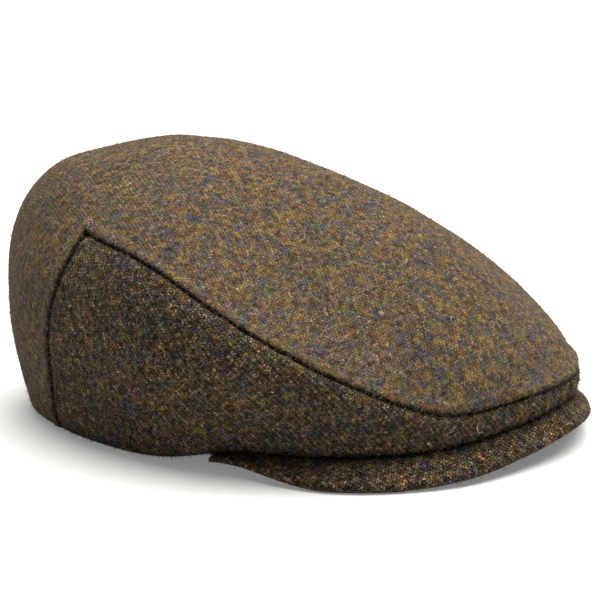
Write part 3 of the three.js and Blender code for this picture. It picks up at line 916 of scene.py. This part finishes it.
def fibre_tints(rng, count, brightness, spread):
    """One tint per fibre, a part of the way from grey to a yarn's own colour."""
    shares = np.array([yarn[2] for yarn in YARNS])
    palette = np.array([yarn[1] for yarn in YARNS])
    chosen = palette[rng.choice(len(YARNS), count, p=shares / shares.sum())]
    tints = (chosen / (shares @ palette)) ** 0.15
    return tints * rng.uniform(1 - spread, 1 + spread, (count, 1)) * brightness


def random_places(rng, points, triangles, count):
    """Random places on a surface and the directions square to it."""
    a, b, c = (points[triangles[:, k]] for k in range(3))
    cross = np.cross(b - a, c - a)
    areas = np.linalg.norm(cross, axis=1)
    chosen = rng.choice(len(triangles), count, p=areas / areas.sum())
    p, q = rng.random((2, count, 1))
    over = p + q > 1
    p, q = np.where(over, 1 - p, p), np.where(over, 1 - q, q)
    roots = a[chosen] * (1 - p - q) + b[chosen] * p + c[chosen] * q
    return roots, unit(cross[chosen])


def short_fibres(rng, points, triangles, count):
    """Fibres of a few millimetres, some standing and some lying."""
    roots, normals = random_places(rng, points, triangles, count)
    stand = rng.random(count) < STANDING
    length = np.where(stand, rng.uniform(0.8, 3.0, count), rng.lognormal(0.85, 0.35, count))
    turn = rng.normal(0, 2.4, count)
    lift = np.where(stand, rng.uniform(0.4, 1.7, count), rng.uniform(0.1, 0.35, count))
    width = np.where(stand, 0.11, rng.uniform(0.13, 0.24, count))
    return ribbons(rng, 3, roots, normals, length, turn, lift, width, stand)


def stray_curls(rng, points, triangles, count):
    """A few long pale hairs that lie in loose curls."""
    roots, normals = random_places(rng, points, triangles, count)
    length = rng.uniform(3.0, 7.5, count)
    turn = rng.choice((-1, 1), count) * rng.uniform(1.5, 5.0, count)
    lift = rng.uniform(0.5, 1.1, count)
    width = rng.uniform(0.22, 0.32, count)
    return ribbons(rng, 14, roots, normals, length, turn, lift, width, np.zeros(count, bool))


def fuzz(name, points, triangles, material):
    """Loose fibres over the outside of a piece, as one mesh."""
    row = FIBRES[name]
    strays = row["strays"]
    rng = np.random.default_rng(row["seed"])
    made, faces, each = short_fibres(rng, points, triangles, row["short"])
    curls, curl_faces, each_curl = stray_curls(rng, points, triangles, strays)
    tints = fibre_tints(rng, row["short"], row["brightness"], row["spread"])
    pale = rng.uniform(1.2, 2.8, (strays, 1)) * np.array([1.0, 1.05, 1.1])
    colours = np.concatenate([np.repeat(tints, each, 0), np.repeat(pale, each_curl, 0)])
    faces = np.concatenate([faces, curl_faces + len(made)])
    made = np.concatenate([made, curls])
    made[:, 2] = np.maximum(made[:, 2], GROUND_CLEARANCE)
    zeros = np.zeros(len(made))
    fibres = make_object(name, made, faces.tolist(), np.c_[zeros, zeros], zeros, material)
    layer = fibres.data.color_attributes.new("fibre", "FLOAT_COLOR", "POINT")
    with_alpha = np.c_[colours, np.ones(len(colours))]
    layer.data.foreach_set("color", with_alpha.astype(np.float32).ravel())
    return fibres


def outward_faces(points, faces):
    """The faces, turned if they enclose a negative volume."""
    if signed_volume(points, triangle_list(faces)) < 0:
        return faces[:, ::-1]
    return faces


def build_panel(name, made, material):
    """A side panel's object, and the points and triangles of its outside."""
    outside, inside, faces, weave, crease_and_painted_shade = made
    points, closed = closed_cloth(outside, inside, faces)
    turned = signed_volume(points, triangle_list(closed)) < 0
    if turned:
        closed = closed[:, ::-1]
        faces = faces[:, ::-1]
    weave, crease_and_painted_shade = np.concatenate([weave, weave]), np.concatenate([crease_and_painted_shade, crease_and_painted_shade])
    panel = make_object(name, points + SHIFT, closed.tolist(), weave, crease_and_painted_shade, material)
    return panel, outside + SHIFT, triangle_list(faces)


def build_top(name, made, material):
    """The top panel's object, and the points and triangles of its outside."""
    outside, inside, faces, tips, weave, crease_and_painted_shade = made
    points, quads, ends = closed_cloth_with_tips(outside, inside, faces, tips)
    triangles = np.concatenate([triangle_list(quads), ends])
    turned = signed_volume(points, triangles) < 0
    if turned:
        quads, ends, faces, tips = quads[:, ::-1], ends[:, ::-1], faces[:, ::-1], tips[:, ::-1]
    weave, crease_and_painted_shade = np.concatenate([weave, weave]), np.concatenate([crease_and_painted_shade, crease_and_painted_shade])
    faces_all = quads.tolist() + ends.tolist()
    panel = make_object(name, points + SHIFT, faces_all, weave, crease_and_painted_shade, material)
    return panel, outside + SHIFT, np.concatenate([triangle_list(faces), tips])


def closed_cloth_with_tips(outside, inside, faces, tips):
    """As closed_cloth, with a fan of triangles round the highest point."""
    count = len(outside)
    heads = np.concatenate([faces.ravel(), tips.ravel()])
    tails = np.concatenate([np.roll(faces, -1, 1).ravel(), np.roll(tips, -1, 1).ravel()])
    free = ~np.isin(heads * count + tails, tails * count + heads)
    a, b = heads[free], tails[free]
    rim = np.stack([b, a, a + count, b + count], 1)
    quads = np.concatenate([faces, faces[:, ::-1] + count, rim])
    ends = np.concatenate([tips, tips[:, ::-1] + count])
    return np.concatenate([outside, inside]), quads, ends


def footprint_shift():
    """The move that puts the origin in the middle of the footprint."""
    back = wall_point(np.full(200, float(LAST_ROW)), np.linspace(0, 1, 200))[:, 1].max()
    front = peak_loop(np.linspace(-1, 1, 41))[..., 1].min()
    return np.array([0.0, -(back + front) / 2, 0.0])


SHIFT = footprint_shift()

# One tweed in three copies: the side and peak copies are darker than the top by painted shade, and
# their stronger light-dark variation partly stands in for light grazing them.
top_cloth = tweed("tweed_top", brightness=0.69, weave=0.42, sharp=0.2, soft=0.8, relief=0.2)
side_cloth_painted_shade = tweed("tweed_side", brightness=0.61, weave=1.0, sharp=0.9, soft=1.55, relief=0.5)
peak_cloth_painted_shade = tweed("tweed_peak", brightness=0.60, weave=1.0, sharp=0.9, soft=1.5, relief=0.5)
fibre_wool = wool_fibres("loose_wool")

top, top_points, top_triangles = build_top("crown_top", top_panel(), top_cloth)
right, right_points, right_triangles = build_panel("side_right", side_panel(-1), side_cloth_painted_shade)
left, left_points, left_triangles = build_panel("side_left", side_panel(1), side_cloth_painted_shade)
peak_points, peak_faces, peak_weave, peak_painted_shade = peak_mesh()
peak_faces = outward_faces(peak_points, peak_faces)
peak = make_object(
    "peak_cover", peak_points + SHIFT, peak_faces.tolist(), peak_weave, peak_painted_shade, peak_cloth_painted_shade
)

top_fuzz = fuzz("fuzz_top", top_points, top_triangles, fibre_wool)
right_fuzz = fuzz("fuzz_right", right_points, right_triangles, fibre_wool)
left_fuzz = fuzz("fuzz_left", left_points, left_triangles, fibre_wool)
peak_fuzz = fuzz("fuzz_peak", peak_points + SHIFT, triangle_list(peak_faces), fibre_wool)

for piece in (top, right, left, peak, top_fuzz, right_fuzz, left_fuzz, peak_fuzz):
    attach(piece, "root")
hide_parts("crown_top_panel")
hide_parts("side_panel_right")
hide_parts("side_panel_left")
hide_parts("peak")


# The studio: the floor's tone and glow, the light's place, size, power and tint, and the
# world's tint and strength. Lengths are in metres.
FLOOR_SIZE = 16
FLOOR_DEPTH = 0.0002
FLOOR_TONES = (0.61, 0.63)
FLOOR_GLOW = 0.2
LIGHT_PLACE = (0.75, -0.2, 2.45)
LIGHT_SIZE = (3.4, 3.4)
LIGHT_POWER = 262
LIGHT_TINT = (1.0, 0.97, 0.92)
WORLD_TINT = (0.86, 0.94, 1.0, 1.0)
WORLD_STRENGTH = 0.16


def plain_floor():
    bpy.ops.mesh.primitive_plane_add(size=FLOOR_SIZE, location=(0, 0, -FLOOR_DEPTH))
    floor = bpy.context.object
    floor.name = "floor"
    t = Tree("floor_paper")
    place = t.node("ShaderNodeTexCoord", {}).outputs["Object"]
    tone = t.grey(t.noise(place, 2.0, 2.0), 0.3, 0.7, *FLOOR_TONES)
    colour = t.node("ShaderNodeCombineColor", {0: tone, 1: tone, 2: tone}).outputs[0]
    t.put(t.shader.inputs["Base Color"], colour)
    t.put(t.shader.inputs["Roughness"], 0.9)
    t.put(t.shader.inputs["Emission Color"], (1.0, 1.0, 1.0, 1.0))
    t.put(t.shader.inputs["Emission Strength"], FLOOR_GLOW)
    floor.data.materials.append(t.material)


def area_light(name, place, aim, size, power):
    data = bpy.data.lights.new(name, "AREA")
    data.shape = "RECTANGLE"
    data.size, data.size_y = size
    data.energy = power
    data.color = LIGHT_TINT
    lamp = bpy.data.objects.new(name, data)
    lamp.location = place
    lamp.rotation_mode = "QUATERNION"
    lamp.rotation_quaternion = (Vector(aim) - Vector(place)).to_track_quat("-Z", "Y")
    bpy.context.scene.collection.objects.link(lamp)
    return lamp


def studio():
    plain_floor()
    area_light("overhead", LIGHT_PLACE, (0, 0, 0), LIGHT_SIZE, LIGHT_POWER)
    world = bpy.data.worlds.new("studio")
    world.use_nodes = True
    background = world.node_tree.nodes["Background"]
    background.inputs["Color"].default_value = WORLD_TINT
    background.inputs["Strength"].default_value = WORLD_STRENGTH
    bpy.context.scene.world = world
    bpy.context.scene.view_settings.view_transform = "Standard"


# The camera: the angles of the fit to the photo, its distance in metres, its lens and sensor,
# and the point that it looks at, with that point's shift to the right and down in the picture,
# in millimetres.
AZIMUTH = -66.19
ELEVATION = 12.89
DISTANCE = 1.1
LENS = 155.3
SENSOR_WIDTH = 36
AIM_FORWARD = 22.0
AIM_HEIGHT = 52
AIM_RIGHT = 2.44
AIM_DOWN = 1.53


def camera():
    a = math.radians(AZIMUTH)
    e = math.radians(ELEVATION)
    back = Vector((math.sin(a) * math.cos(e), -math.cos(a) * math.cos(e), math.sin(e)))
    right_way = Vector((math.cos(a), math.sin(a), 0))
    up_way = back.cross(right_way)
    target = Vector((0, SHIFT[1] - AIM_FORWARD, AIM_HEIGHT)) * MM
    target = target + right_way * AIM_RIGHT * MM - up_way * AIM_DOWN * MM
    data = bpy.data.cameras.new("camera")
    data.sensor_width = SENSOR_WIDTH
    data.lens = LENS
    data.clip_start = 0.05
    data.clip_end = 60
    view = bpy.data.objects.new("camera", data)
    view.location = target + back * DISTANCE
    view.rotation_mode = "QUATERNION"
    view.rotation_quaternion = (-back).to_track_quat("-Z", "Y")
    bpy.context.scene.collection.objects.link(view)
    bpy.context.scene.camera = view


studio()
camera()
